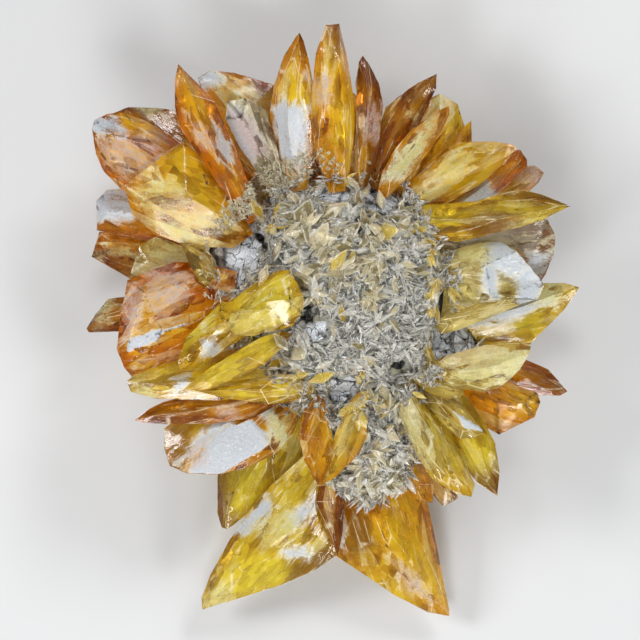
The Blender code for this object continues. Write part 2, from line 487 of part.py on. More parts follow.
def make_heart(crystals):
    """The heart: a broken-off lump with its neck, and the fine crystals that grow on it."""
    heart = object_from("heart", lump_mesh(HEART))
    for lump in LUMPS[1:]:
        combine(heart, object_from("lump", lump_mesh(lump)), "UNION")
    lump_tree = tree_of(heart)
    others = [tree_of(item) for item in crystals.values()]
    draw = random.Random(FINE_SEED)
    grown = 0
    while grown < FINE_COUNT:
        heading = draw.uniform(0, math.tau)
        if grown % 3 == 2:
            aim = Vector((draw.uniform(-2, 5), draw.uniform(-24, 2), draw.uniform(3, 26)))
            start = aim + 60 * Vector((math.cos(heading), math.sin(heading), 0))
        else:
            aim = Vector((draw.uniform(-18, 18), draw.uniform(-36, 18), 0))
            start = aim + Vector((0, 0, 60))
        hit, normal, _, _ = lump_tree.ray_cast(start, aim - start)
        if hit is None or hit.z < 3:
            continue
        heading = draw.uniform(0, math.tau)
        lie = Vector((math.cos(heading), math.sin(heading), draw.uniform(-0.2, 0.7)))
        lie = (lie - normal * lie.dot(normal) * 0.6).normalized()
        length = draw.uniform(*FINE_LENGTH)
        points = fine_corners(hit, lie, normal, length, draw.uniform(-0.9, 0.9))
        room = hull_mesh(points, GAP)
        room_tree = BVHTree.FromBMesh(room)
        room.free()
        if any(room_tree.overlap(other) for other in others):
            continue
        combine(heart, object_from("fine", hull_mesh(points)), "UNION")
        grown += 1
    keep_main_body(heart)
    heart.data.materials.clear()
    heart.data.materials.append(tone_material("heart"))
    return heart


for old in list(bpy.data.objects):
    bpy.data.objects.remove(old)
all_crystals = make_crystals()
for solid in [make_heart(all_crystals), *all_crystals.values()]:
    solid.data.transform(Matrix.Scale(MM, 4))
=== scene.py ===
"""A golden duckbill selenite cluster, lying on its back on a pale floor, seen from straight above."""

import math
import random

import bmesh
import bpy
from mathutils import Matrix, Vector, noise
from mathutils.bvhtree import BVHTree
from mathutils.kdtree import KDTree


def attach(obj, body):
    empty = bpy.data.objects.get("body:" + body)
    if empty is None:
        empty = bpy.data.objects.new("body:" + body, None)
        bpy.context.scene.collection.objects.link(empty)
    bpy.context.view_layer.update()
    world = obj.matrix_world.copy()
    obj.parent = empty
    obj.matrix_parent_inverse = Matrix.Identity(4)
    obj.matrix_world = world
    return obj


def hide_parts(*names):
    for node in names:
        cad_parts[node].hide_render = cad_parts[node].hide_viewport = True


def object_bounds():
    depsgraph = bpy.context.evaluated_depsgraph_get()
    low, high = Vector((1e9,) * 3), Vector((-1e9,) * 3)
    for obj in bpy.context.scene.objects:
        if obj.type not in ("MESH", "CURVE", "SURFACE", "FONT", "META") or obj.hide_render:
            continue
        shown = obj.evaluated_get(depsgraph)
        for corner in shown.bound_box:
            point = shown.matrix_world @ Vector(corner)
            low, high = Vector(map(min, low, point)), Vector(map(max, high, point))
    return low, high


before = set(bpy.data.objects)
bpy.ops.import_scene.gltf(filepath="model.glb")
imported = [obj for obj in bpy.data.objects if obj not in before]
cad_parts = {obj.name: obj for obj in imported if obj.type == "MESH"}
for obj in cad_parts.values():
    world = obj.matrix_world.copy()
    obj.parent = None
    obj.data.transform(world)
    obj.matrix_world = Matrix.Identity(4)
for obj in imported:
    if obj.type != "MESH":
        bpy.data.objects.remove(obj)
cad_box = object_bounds()
MM = 0.001

# Stone: clear gypsum, coloured gold by iron. Each blade is one crystal, bright and glassy where it is clean,
# milky where it is frosted, and painted white or pink where it would catch glare or sheen. The colour deepens
# towards the tip and with the thickness of the crystal.


class Sock:
    """A value in a material, on which arithmetic adds Math nodes."""

    def __init__(self, material, socket):
        self.material, self.socket = material, socket

    def _math(self, operation, first, second):
        return self.material.node("ShaderNodeMath", {"operation": operation}, {0: first, 1: second})

    def __add__(self, other):
        return self._math("ADD", self, other)

    def __radd__(self, other):
        return self._math("ADD", other, self)

    def __sub__(self, other):
        return self._math("SUBTRACT", self, other)

    def __rsub__(self, other):
        return self._math("SUBTRACT", other, self)

    def __mul__(self, other):
        return self._math("MULTIPLY", self, other)

    def __rmul__(self, other):
        return self._math("MULTIPLY", other, self)


class Finish:
    """A material whose nodes come from one method."""

    def __init__(self, name):
        self.data = bpy.data.materials.new(name)
        self.data.use_nodes = True
        self.tree = self.data.node_tree
        self.tree.nodes.clear()
        self.output = self.tree.nodes.new("ShaderNodeOutputMaterial")

    def node(self, kind, settings=None, inputs=None, out=0):
        made = self.tree.nodes.new(kind)
        for key, value in (settings or {}).items():
            setattr(made, key, value)
        for key, value in (inputs or {}).items():
            if isinstance(value, Sock):
                self.tree.links.new(value.socket, made.inputs[key])
            else:
                made.inputs[key].default_value = value
        return Sock(self, made.outputs[out])

    def attribute(self, name, out="Fac"):
        return self.node("ShaderNodeAttribute", {"attribute_name": name}, out=out)

    def mix(self, factor, first, second):
        colours = {"Factor": factor, "A": first, "B": second}
        made = self.tree.nodes.new("ShaderNodeMix")
        made.data_type = "RGBA"
        slots = {"Factor": made.inputs[0], "A": made.inputs[6], "B": made.inputs[7]}
        for key, value in colours.items():
            if isinstance(value, Sock):
                self.tree.links.new(value.socket, slots[key])
            else:
                slots[key].default_value = value if key == "Factor" else (*value, 1.0)
        return Sock(self, made.outputs[2])

    def range(self, value, low, high, start=0.0, end=1.0):
        """Eases from start to end as the value goes from low to high."""
        levels = {"Value": value, "From Min": low, "From Max": high, "To Min": start, "To Max": end}
        return self.node("ShaderNodeMapRange", {"interpolation_type": "SMOOTHSTEP"}, levels)

    def noise(self, vector, scale, detail=3.0, rough=0.5, warp=0.0):
        levels = {"Vector": vector, "Scale": scale, "Detail": detail, "Roughness": rough, "Distortion": warp}
        return self.node("ShaderNodeTexNoise", None, levels)

    def stretched(self, vector, factors, detail=4.0, rough=0.6):
        """Noise drawn out along a crystal."""
        drawn = self.node("ShaderNodeVectorMath", {"operation": "MULTIPLY"}, {0: vector, 1: factors})
        return self.noise(drawn, 1.0, detail, rough)

    def splinters(self, vector, factors, feature="F1", out="Color"):
        """Straight-sided splinters drawn out along a crystal."""
        drawn = self.node("ShaderNodeVectorMath", {"operation": "MULTIPLY"}, {0: vector, 1: factors})
        return self.node("ShaderNodeTexVoronoi", {"feature": feature}, {"Vector": drawn, "Scale": 1.0}, out)

    def glassy(self, colour, roughness, transmission, bump):
        return self.node("ShaderNodeBsdfPrincipled", None, {
            "Base Color": colour, "Roughness": roughness, "IOR": IOR, "Transmission Weight": transmission,
            "Normal": bump})

    def close(self, surface, volume=None):
        self.tree.links.new(surface.socket, self.output.inputs["Surface"])
        if volume:
            self.tree.links.new(volume.socket, self.output.inputs["Volume"])
        return self.data


IOR = 1.52
DARK = (0.18, 0.040, 0.006)
ICE_GLARE = (0.54, 0.59, 0.64)
ROSE_SHEEN = (0.53, 0.42, 0.39)
CREAM = (0.62, 0.58, 0.27)
# Pale colour of the milky veils, and of the painted rim highlights and glints.
PALE_RIM = (0.86, 0.78, 0.52)


def selenite(name, clear, glow, deep, painted_glow_colour, absorb, honey=0.5, veils=0.2):
    """Honey-coloured gypsum: clear in places, glowing gold in others, with silvery veils along the blade."""
    fin = Finish(name)
    place = fin.node("ShaderNodeTexCoord", out="Object")
    grain = fin.attribute("grain", "Vector")
    run, core, edge, nook_shade = [fin.attribute(key) for key in ("run", "core", "edge", "nook_shade")]
    frost, pink, cream = [fin.attribute(key) for key in ("frost", "pink", "cream")]
    bands = fin.stretched(grain, (0.06, 0.45, 0.45))
    lines = fin.stretched(grain, (0.08, 1.9, 1.9), 3.0)
    smears = fin.stretched(grain, (0.22, 0.8, 0.8), 5.0, 0.65)
    clouds = fin.noise(place, 230.0, 4.0, 0.6)
    flecks = fin.noise(place, 800.0, 3.0, 0.6, 0.8)
    crinkle = fin.noise(place, 1900.0, 4.0, 0.65, 1.0)
    shards = fin.splinters(grain, (0.08, 0.42, 0.42))
    chips = fin.splinters(grain, (0.35, 0.95, 0.95))
    glint_seams = fin.splinters(grain, (0.04, 0.36, 0.36), "DISTANCE_TO_EDGE", "Distance")

    body = fin.mix(fin.range(shards * 0.3 + bands * 0.2 + clouds * 0.3 + core * 0.22, 0.36, 0.66), deep, glow)
    body = fin.mix(fin.range(run + (clouds - 0.5) * 0.6, 0.65, 1.1) * 0.5, body, deep)
    # Painted glow: bright spots of the glow colour where light would shine through the blade.
    glow_spots = fin.range(shards * 0.35 + chips * 0.2 + clouds * 0.25 + core * 0.2, 0.55, 0.68)
    body = fin.mix(glow_spots * 0.75, body, painted_glow_colour)
    body = fin.mix(fin.range(shards * 0.3 + chips * 0.35 + clouds * 0.35, 0.45, 0.31) * 0.7, body, DARK)
    # Painted glow: the listed bright patches of each blade.
    body = fin.mix(fin.attribute("light") * 0.9, body, painted_glow_colour)
    body = fin.mix(fin.attribute("deep") * 0.85, body, DARK)
    # Painted shade: the nooks between fused crystals are darkened.
    body = fin.mix(nook_shade * 0.5, body, DARK)
    tint = fin.mix(0.5, body, clear)

    mottle = smears * 0.30 + chips * 0.25 + shards * 0.20 + crinkle * 0.25
    # Painted glints: thin bright lines along the blade, added to its milky veils.
    seam_glint = fin.range(glint_seams, 0.036, 0.0) * fin.range(clouds, 0.46, 0.60) * 0.7
    veil_and_glint = fin.range(shards * 0.5 + smears * 0.5, 0.58, 0.68) * veils + seam_glint
    # Frost patches, partly frosting and partly painted glare.
    rime_and_glare = fin.range(mottle + frost * 0.42, 0.64, 0.88) * 0.95
    # Painted sheen: pink patches over the blade.
    rosy_sheen = fin.range(mottle + pink * 0.36, 0.60, 0.98) * 0.78
    milky = fin.range(mottle + cream * 0.36, 0.62, 0.96) * 0.68
    # Painted highlight: a thin bright line along the blade's outline and its steeper ridges.
    rim_highlight = fin.range(edge + (clouds - 0.5) * 1.0, 0.72, 1.02) * 0.9
    cover = fin.node("ShaderNodeClamp", None, {"Value": veil_and_glint + rime_and_glare + rosy_sheen + milky + rim_highlight})
    # Colours of the cover: frost with painted glare, painted pink sheen, and milky cream.
    white = fin.mix(frost, PALE_RIM, ICE_GLARE)
    white = fin.mix(pink, white, ROSE_SHEEN)
    white = fin.mix(cream, white, CREAM)
    sprinkle = fin.range(flecks * 0.5 + crinkle * 0.5 + frost * 0.1, 0.38, 0.58)
    white = fin.mix(sprinkle, fin.mix(0.5, white, body), white)

    bump = fin.node("ShaderNodeBump", None, {
        "Strength": 0.35, "Distance": 0.0003, "Height":
            shards + chips * 0.5 + lines * 0.5 + bands * 0.4 + crinkle * (frost + cream) * 0.5})
    clean = fin.glassy(tint, fin.range(clouds, 0.35, 0.7, 0.02, 0.12), 1.0, bump)
    golden = fin.glassy(body, fin.range(flecks, 0.3, 0.7, 0.04, 0.16), 0.25, bump)
    icy = fin.glassy(white, fin.range(crinkle, 0.3, 0.7, 0.12, 0.36), 0.12, bump)
    share = fin.node("ShaderNodeClamp", None, {"Value": honey + (clouds - 0.5) * 0.9 + (chips - 0.5) * 0.5})
    stone = fin.node("ShaderNodeMixShader", None, {0: share, 1: clean, 2: golden})
    colour, density = absorb
    volume = fin.node("ShaderNodeVolumeAbsorption", None, {"Color": (*colour, 1.0), "Density": density})
    return fin.close(fin.node("ShaderNodeMixShader", None, {0: cover, 1: stone, 2: icy}), volume)


TINTS = {
    "orange": selenite("orange_selenite", (1.0, 0.76, 0.20), (0.90, 0.40, 0.008), (0.68, 0.19, 0.003),
                       (0.96, 0.56, 0.012), ((0.985, 0.80, 0.0), 260.0)),
    "amber": selenite("amber_selenite", (1.0, 0.82, 0.26), (0.92, 0.52, 0.012), (0.70, 0.28, 0.005),
                      (0.97, 0.66, 0.02), ((0.985, 0.85, 0.0), 240.0)),
    "yellow": selenite("yellow_selenite", (1.0, 0.90, 0.34), (0.90, 0.66, 0.030), (0.70, 0.42, 0.010),
                       (0.96, 0.78, 0.05), ((0.99, 0.90, 0.0), 220.0)),
    "pale": selenite("pale_selenite", (1.0, 0.94, 0.62), (0.84, 0.69, 0.21), (0.64, 0.44, 0.06),
                     (0.95, 0.82, 0.32), ((0.99, 0.94, 0.4), 150.0), 0.4, 0.35),
    "brown": selenite("brown_selenite", (0.98, 0.60, 0.16), (0.60, 0.28, 0.014), (0.26, 0.07, 0.005),
                      (0.86, 0.46, 0.014), ((0.94, 0.64, 0.0), 280.0)),
    "silver": selenite("silver_selenite", (1.0, 0.98, 0.90), (0.62, 0.58, 0.44), (0.42, 0.34, 0.18),
                       (0.80, 0.72, 0.44), ((0.99, 0.96, 0.78), 90.0), 0.4, 0.6),
}

# How finely a crystal's faces are divided, how wide its edges are worn, how far its faces undulate, how high
# their growth steps are, and how far in from its rim the deeper colour of the rim reaches
CELL = 0.75 * MM
EDGE = 0.08 * MM
WAVE = 0.10 * MM
STEP = 0.07 * MM
RIM_DEPTH = 3.4 * MM
# How far a painted patch and a facet's painted reflection fade past their outline, in mm, and how nearly
# parallel to its facet a point must be to carry that reflection
PATCH_FADE = 2.4
FACET_FADE = 0.8
FACET_TURN = 0.955
FACET_SPREAD = 0.015
# Turns in degrees: of the ridges that are worn, of the worn strips that stay crisp and that carry a painted
# highlight line, of the nooks that are painted dark as shade, and of the edges that shading keeps sharp
RIDGE_TURN = 12
CRISP_TURN = 11
BRIGHT_TURNS = (23, 80)
NOOK_TURNS = (28, 120)
SHARP_TURN = 24


def sides_of(corners):
    """The sides of a convex outline on the flower's face: a point of each, and its outward direction."""
    middle = sum((Vector(corner) for corner in corners), Vector((0, 0))) / len(corners)
    sides = []
    for first, second in zip(corners, corners[1:] + corners[:1]):
        edge = Vector(second) - Vector(first)
        out = Vector((edge.y, -edge.x)).normalized()
        sides.append((Vector(first), -out if out.dot(middle - Vector(first)) > 0 else out))
    return sides


def inside(outlines, point, soft):
    """1 inside any of the outlines, easing to 0 over soft outside it."""
    most = 0.0
    for sides in outlines:
        outmost = max(out.dot(point - first) for first, out in sides)
        most = max(most, 1 - outmost / soft)
    return min(1.0, most)


PATCHES = ("frost", "pink", "cream", "deep", "light")


def refine(bm, cell):
    """Divides every face until no edge is much longer than the cell."""
    bmesh.ops.triangulate(bm, faces=bm.faces)
    for _ in range(7):
        long = [edge for edge in bm.edges if edge.calc_length() > 1.4 * cell]
        if not long:
            break
        bmesh.ops.subdivide_edges(bm, edges=long, cuts=1)
        bmesh.ops.triangulate(bm, faces=[face for face in bm.faces if len(face.verts) > 3])


def worn(name, edge_width, cell, rounds=5):
    """A copy of a node's solid with worn edges and softened low ridges, finely divided. It is marked along
    its sharp edges for a painted highlight, in its nooks for painted shade, and by how far a point lies from
    the rim."""
    bm = bmesh.new()
    bm.from_mesh(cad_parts[name].data)
    bmesh.ops.remove_doubles(bm, verts=bm.verts, dist=0.02 * MM)
    bmesh.ops.dissolve_limit(bm, angle_limit=math.radians(1.5), verts=bm.verts, edges=bm.edges)
    ridges = [edge for edge in bm.edges
              if edge.is_manifold and edge.is_convex and edge.calc_face_angle(0) > math.radians(RIDGE_TURN)]
    rim_highlight = bm.faces.layers.float.new("edge")
    crisp = bm.faces.layers.int.new("crisp")
    made = bmesh.ops.bevel(bm, geom=ridges, offset=edge_width, offset_type="OFFSET", segments=1, profile=0.5,
                           affect="EDGES", clamp_overlap=True, material=-1)
    for face in made["faces"]:
        turn = math.degrees(max(edge.calc_face_angle(0) for edge in face.edges))
        face[crisp] = 1 if turn > CRISP_TURN else 0
        if BRIGHT_TURNS[0] < turn < BRIGHT_TURNS[1]:
            face[rim_highlight] = 1.0 if abs(face.normal.z) < 0.75 else 0.72
    refine(bm, cell)
    nooks = [edge for edge in bm.edges if edge.is_manifold and not edge.is_convex
             and math.radians(NOOK_TURNS[0]) < edge.calc_face_angle(0) < math.radians(NOOK_TURNS[1])]
    held = {vert for face in bm.faces if face[crisp] for vert in face.verts}
    held |= {vert for edge in nooks for vert in edge.verts}
    loose = [vert for vert in bm.verts if vert not in held]
    for _ in range(rounds):
        bmesh.ops.smooth_vert(bm, verts=loose, factor=0.5, use_axis_x=True, use_axis_y=True, use_axis_z=True)
    bm.normal_update()
    layers = {key: bm.verts.layers.float.new(key) for key in ("run", "core", "nook_shade", *PATCHES)}
    rim = [face.calc_center_median() for face in bm.faces if face[rim_highlight] == 1.0]
    near_rim = KDTree(len(rim))
    for number, point in enumerate(rim):
        near_rim.insert(point, number)
    near_rim.balance()
    for vert in bm.verts:
        vert[layers["core"]] = min(1.0, near_rim.find(vert.co)[2] / RIM_DEPTH) if rim else 1.0
    for edge in nooks:
        for vert in edge.verts:
            vert[layers["nook_shade"]] = 1.0
    return bm, layers


def finished(bm, name, material, node=None):
    """Shades a piece smooth but for its sharp edges, and puts it on the cluster."""
    for edge in bm.edges:
        edge.smooth = edge.calc_face_angle(0) < math.radians(SHARP_TURN)
    for item in bm.faces:
        item.smooth = True
    mesh = bpy.data.meshes.new(name)
    bm.to_mesh(mesh)
    bm.free()
    piece = bpy.data.objects.new(name, mesh)
    bpy.context.scene.collection.objects.link(piece)
    piece.data.materials.append(material)
    if node:
        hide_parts(node)
    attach(piece, "root")


def grown(name, tint, seed, cell=CELL, **patches):
    """A crystal made from its solid: worn edges, gently waved and stepped faces, and its patches. A facet
    patch is a painted reflection: dense frost colour that ends where its facet does."""
    bm, layers = worn(name, EDGE, cell)
    far = max(bm.verts, key=lambda v: v.co.xy.length).co.copy()
    near = min(bm.verts, key=lambda v: v.co.xy.length).co.copy()
    along = (far - near).normalized()
    right = along.cross(Vector((0, 0, 1))).normalized()
    face = right.cross(along)
    length = (far - near).length
    grain = bm.verts.layers.float_vector.new("grain")
    shift = Vector((seed * 3.7, seed * 1.3, seed * 7.1))
    painted = []
    for key, outlines in patches.items():
        for outline in outlines:
            middle = sum((Vector(corner) for corner in outline), Vector((0, 0))) / len(outline) * MM
            top = [vert for vert in bm.verts if vert.normal.z > 0.1]
            top = sorted(top, key=lambda v: (v.co.xy - middle).length)[:9]
            facet = sum((vert.normal for vert in top), Vector()).normalized()
            painted.append((key, [sides_of(outline)], facet))
    for vert in bm.verts:
        from_root = vert.co - near
        local = Vector((from_root.dot(along), from_root.dot(right), from_root.dot(face))) / MM
        wavy = noise.noise(vert.co / MM * 0.16 + shift)
        ledge = (local.y * 0.35 + local.x * 0.12 + 1.5 * wavy) % 1.0
        move = WAVE * wavy + STEP * (ledge - 0.5)
        plan = vert.co.xy / MM + 0.5 * noise.noise_vector(local * 0.9).xy
        up = min(1.0, max(0.0, vert.normal.z * 3))
        vert[grain] = local + shift * 5
        vert[layers["run"]] = local.x * MM / length
        for key, outline, facet in painted:
            # A glare facet is painted reflection: frost colour on the faces that turn with the facet.
            if key == "facet":
                flat = min(2.0, max(0.0, (vert.normal.dot(facet) - FACET_TURN) / FACET_SPREAD))
                vert[layers["frost"]] = max(vert[layers["frost"]], flat * inside(outline, plan, FACET_FADE))
            else:
                vert[layers[key]] = max(vert[layers[key]], up * inside(outline, plan, PATCH_FADE))
        vert.co += vert.normal * (move - 0.5 * (WAVE + STEP))
    finished(bm, f"{name}_crystal", TINTS[tint], name)


# Top of the flower: tall blades that flare up out of the heart. The tallest two grew through each other.
# The face of the left one carries a long patch of frost and painted glare, and the one beside it a painted
# pink sheen near its tip.
grown("top_pair", "amber", 1,
      frost=[[(-11, 30), (-9.4, 31), (-6.6, 30.4), (-6, 25), (-7.2, 21), (-9.4, 23)]],
      light=[[(-8, 34), (-6.6, 34), (-6.2, 31.8), (-7.8, 31.8)],
             [(0.6, 31), (1.6, 32), (2.4, 24), (1.6, 22)]],
      pink=[[(-4.2, 35.2), (-2.4, 35.6), (-1.6, 32), (-3.8, 31.8)]],
      deep=[[(-1.6, 45), (0.4, 45.4), (1.2, 42), (-0.6, 41)]])
grown("top_needle", "brown", 2,
      deep=[[(2.8, 40), (5.2, 39.6), (6.4, 35.6), (4.2, 35)]],
      pink=[[(4.6, 31), (6.4, 31), (6, 26), (5, 26)]])
grown("brown_spear", "brown", 3, cream=[[(12, 29.6), (12.8, 29.6), (12.4, 28.6), (11.8, 28.6)]])
grown("pale_petal", "amber", 4,
      cream=[[(9, 20), (13, 26), (16, 30), (16, 28), (11, 20.4)]],
      frost=[[(8.6, 19.6), (10, 22), (12, 23.6), (11, 20.4)]])
grown("ragged_plate", "amber", 5,
      light=[[(18.4, 33), (21.6, 32.4), (21, 28.6), (18.6, 29)]],
      cream=[[(15.8, 34), (18.4, 33.6), (18, 31), (16, 31.4)]])
grown("orange_spear", "orange", 6,
      light=[[(-26, 34.4), (-24.6, 33), (-23.4, 30), (-25, 31)]],
      pink=[[(-24.2, 27.4), (-23, 26.6), (-22, 24.6), (-23, 24.6)]],
      frost=[[(-20.2, 25.6), (-19.8, 25), (-19.2, 22.6), (-19.6, 22.6)]])
grown("silver_leaf", "silver", 7,
      frost=[[(-20.4, 30), (-17.6, 29.8), (-14.2, 24.4), (-15, 22.8), (-18, 25)]],
      pink=[[(-17, 28.6), (-15.6, 28.4), (-12.8, 23.2), (-14, 23)]],
      light=[[(-15, 19.6), (-9, 20.4), (-9.6, 17.6), (-14.6, 17.6)]])
grown("brown_fan_plate", "orange", 8,
      frost=[[(-24.6, 36), (-22.6, 37.2), (-21.4, 35.6), (-23.4, 34.2)]],
      cream=[[(-19.4, 32.6), (-13, 33), (-12.2, 29), (-18, 29.6)]],
      deep=[[(-14.6, 35.6), (-11.2, 35), (-11.4, 32.4), (-13.6, 32.8)]])

# Right side: a long spear over a smoky disc, a round wing whose face is blue-white frost and painted glare,
# and thick petals above.
grown("amber_petal", "amber", 9,
      light=[[(17, 20.6), (21.4, 24.6), (26.4, 24), (24.4, 19), (19.4, 16.4)]],
      cream=[[(12, 16.4), (17.4, 20.6), (19.6, 23.4), (22, 22.6), (17.4, 17), (13.6, 14.4)]])
grown("deep_orange_petal", "orange", 10, frost=[[(21, 14.6), (24.2, 18), (26, 16), (23.4, 14)]])
grown("orange_stub", "amber", 11,
      frost=[[(16.4, 14.4), (19.6, 17.4), (20.6, 16.4), (18, 13.8)]],
      pink=[[(30.4, 21), (33.6, 20.6), (33.4, 18.6), (30.6, 18.6)]])
grown("right_spear", "yellow", 12,
      deep=[[(22.4, 11), (26, 12.4), (29.8, 12), (27.6, 10), (24, 8.8)],
            [(27, 17), (40, 15.2), (39, 13.6), (33.4, 15.2), (27, 15.4)]],
      light=[[(31, 13.6), (38, 13.4), (36, 11.4), (30, 11.6)]],
      cream=[[(28, 10), (36, 11.2), (33, 9.4), (27, 8.4)]])
grown("smoky_disc", "silver", 13,
      deep=[[(29.4, 11.6), (35, 10), (35.6, 3), (32.4, 1.4)]],
      frost=[[(32.4, 5.6), (34.4, 5.4), (33.8, 3.2), (32, 3.6)]])
grown("glare_wing", "pale", 14,
      light=[[(19, 5.6), (24, 6.8), (24.4, 0), (19, -2)]],
      frost=[[(25, 8), (28, 8), (31, 6), (30.4, 3.4), (25.4, 3.6)],
             [(30.6, 6.4), (34, 1.4), (32.8, -1), (30.8, -2), (30.6, 2)],
             [(24.8, 4), (25.6, 4), (25.8, -0.6), (25, -0.6)]],
      cell=0.5 * MM,
      cream=[[(19, 8), (24, 8.4), (24, 5.6), (19, 5)]])
grown("pale_lens", "pale", 15, light=[[(19, -6), (27, -3), (29, -6), (22, -9)]])
grown("right_sail", "yellow", 16,
      frost=[[(22.6, -5.2), (27.4, -3), (35.4, -0.4), (35.6, -1.6), (27.6, -4.8)]],
      cream=[[(34.6, 1), (38, 1.4), (36.4, -2), (34, -1)]])
grown("clear_lens", "pale", 17,
      pink=[[(29, -14), (31, -13.4), (32.6, -10), (30.4, -11)]],
      cream=[[(20, -15), (29, -15), (31, -11), (24, -12)]])
grown("small_leaf", "pale", 18)
grown("red_spear", "orange", 19, deep=[[(33, -16), (38.8, -17.6), (37, -14), (33.6, -13.6)]])
grown("amber_slab", "orange", 20, light=[[(29, -17), (33, -17.4), (33, -20.6), (29.6, -20.6)]])

# Lower right: short yellow blades, one with a face painted blue-white as a reflection.
grown("white_facet", "pale", 21,
      facet=[[(19.2, -20), (20.6, -19.2), (24.8, -24.2), (20.5, -25.4), (19.2, -22)]])
grown("striped_blade", "pale", 22, cream=[[(11.6, -23), (12.2, -23), (15.2, -29.6), (14.8, -29.8)]])
grown("lower_right_blade", "yellow", 23, light=[[(13, -24), (16, -22.6), (19, -28), (16.6, -29.6)]])
grown("yellow_fang", "yellow", 24,
      deep=[[(23.4, -32), (27.4, -31), (26.9, -35.6), (24.4, -34)]],
      light=[[(20.6, -27), (24.6, -25.6), (25.6, -29.6), (22, -30)]])
grown("dark_brown_tip", "amber", 25)
grown("red_tip", "brown", 26)

# Foot: twin kites over the neck, and the two big blades that spread below it. The left one carries frost and
# painted glare along its upper edge and a painted yellow glow near its point, and both are dark red where
# they meet.
grown("twin_kites", "amber", 27,
      cream=[[(3.2, -19.6), (2.6, -19.8), (-0.4, -27), (0.2, -27)]],
      light=[[(0.4, -20), (3.4, -19), (3, -25), (-0.4, -29)]])
grown("left_foot", "yellow", 28,
      frost=[[(-17.6, -41), (-13, -36.2), (-12.2, -37), (-16, -41)],
             [(-8, -39), (-5, -36.2), (-4.8, -37), (-7.4, -39.6)],
             [(-8.8, -44.6), (-6.4, -44.4), (-6.4, -45), (-8.4, -45.2)]],
      light=[[(-17, -47), (-12, -46.4), (-9, -48), (-13, -51), (-18, -51)]],
      cream=[[(-23.6, -53), (-20.6, -51), (-18.6, -53), (-22.6, -55)],
             [(-13.6, -41), (-9, -38), (-8, -41), (-13, -43.6)]],
      deep=[[(-7.6, -48.8), (-1, -45.6), (-2.4, -44.4), (-7.6, -47.2)]])
grown("right_foot", "amber", 29,
      pink=[[(10, -47), (11.6, -48), (14.6, -52), (12.4, -51.2)]],
      deep=[[(1, -38), (3, -37), (5, -43), (3, -44)]],
      light=[[(9.4, -41), (13, -43), (17, -51), (14.4, -49), (10.6, -44.6)],
             [(4, -49), (12, -52.4), (12, -53.6), (5, -50.4)]],
      frost=[[(-2.6, -36), (-0.8, -36), (0, -43), (-1.6, -42)]])
grown("inner_foot", "brown", 30)
grown("lower_left_crystal", "yellow", 31,
      deep=[[(-21.6, -31), (-19.6, -31), (-19.6, -40.4), (-21.2, -40.4)]],
      light=[[(-16, -31.6), (-14.6, -31), (-16.4, -36), (-17.6, -35.6)]])

# Lower left: the round duckbill blade with its triangular face painted white as a reflection, and the long
# blades above it.
grown("glare_plate", "amber", 32,
      cell=0.55 * MM,
      pink=[[(-25, -28), (-24, -27.6), (-24, -28.6), (-24.8, -29)]],
      facet=[[(-26, -32), (-21.6, -26), (-16.4, -21), (-11.6, -25.8), (-11.4, -28.4), (-18.2, -32)]],
      frost=[[(-13.4, -20.2), (-12.4, -20), (-9.6, -24.6), (-10.6, -25)],
             [(-23, -25.4), (-22.4, -25), (-19.8, -22.6), (-20.6, -22.8)]],
      cream=[[(-11.4, -22), (-8.4, -21.4), (-8.6, -24), (-10.6, -26)]],
      deep=[[(-29.4, -24.6), (-26, -24), (-26, -28), (-28, -30)]])
grown("red_blade", "orange", 33,
      pink=[[(-20.6, -20.4), (-18.4, -20.2), (-18.2, -21.2), (-20.2, -21.2)]],
      deep=[[(-33, -21.4), (-24, -20.8), (-24, -22), (-32, -22.4)]])
grown("left_long_blade", "yellow", 34,
      cream=[[(-34.6, -15.8), (-32, -15.6), (-32, -17), (-34, -17.4)]],
      frost=[[(-27.6, -15.8), (-26.4, -15.4), (-26.2, -16.4), (-27.4, -16.6)]])
grown("yellow_lens", "yellow", 35, light=[[(-26, -15), (-19, -9.4), (-15, -10), (-20, -15.6)]])
grown("gold_lens", "yellow", 36,
      light=[[(-24, -13.6), (-12, -7.4), (-10, -8.4), (-20, -14.8)],
             [(-18, -16), (-9, -14), (-7, -16), (-16, -18.4)]],
      deep=[[(-10, -7), (-7, -7), (-7.6, -9), (-10, -8.6)]])
grown("left_leaves", "yellow", 37,
      light=[[(-16, -2), (-10, 0), (-9.6, -3.6), (-15, -5.6)],
             [(-27, -4), (-22, -2), (-23, -7), (-27, -8)]],
      frost=[[(-22.8, -9), (-21.4, -8.8), (-21.4, -10.4), (-22.6, -10.4)]])

# Left: big plates with painted pink and lilac sheen, a frosted lens and the tiers behind them.
grown("pink_plate", "orange", 38,
      cell=0.55 * MM,
      pink=[[(-32, 3), (-29, 4.4), (-26.4, 2), (-25.8, -1.4), (-28.4, -3.8), (-31, -4.4), (-32, -1)],
            [(-35.4, 0.4), (-34, 0.6), (-34.6, -6), (-36, -7)]],
      facet=[[(-37.5, -9.7), (-26, -5.5), (-26, -6.2), (-37.4, -10.5)]],
      light=[[(-30.6, -0.6), (-29, -0.2), (-28.4, -1.8), (-30, -2.4)]])
grown("little_leaf", "pale", 39)
grown("cream_triangle", "pale", 40,
      cream=[[(-31, 12), (-24.6, 14), (-26, 6), (-32, 5)]],
      pink=[[(-30, 6), (-27, 6), (-25, 2.6), (-31, 3)]])
grown("brown_stub", "brown", 41, cream=[[(-41, -3.4), (-39.4, -2.6), (-39.6, -5), (-41, -5.4)]])
grown("left_spear", "orange", 42,
      cream=[[(-42.6, 6), (-40, 6.4), (-35.4, 6.6), (-35.4, 6.3), (-40, 6)]],
      deep=[[(-42, 5.4), (-33.4, 5.6), (-34, 2), (-38, 2)]])
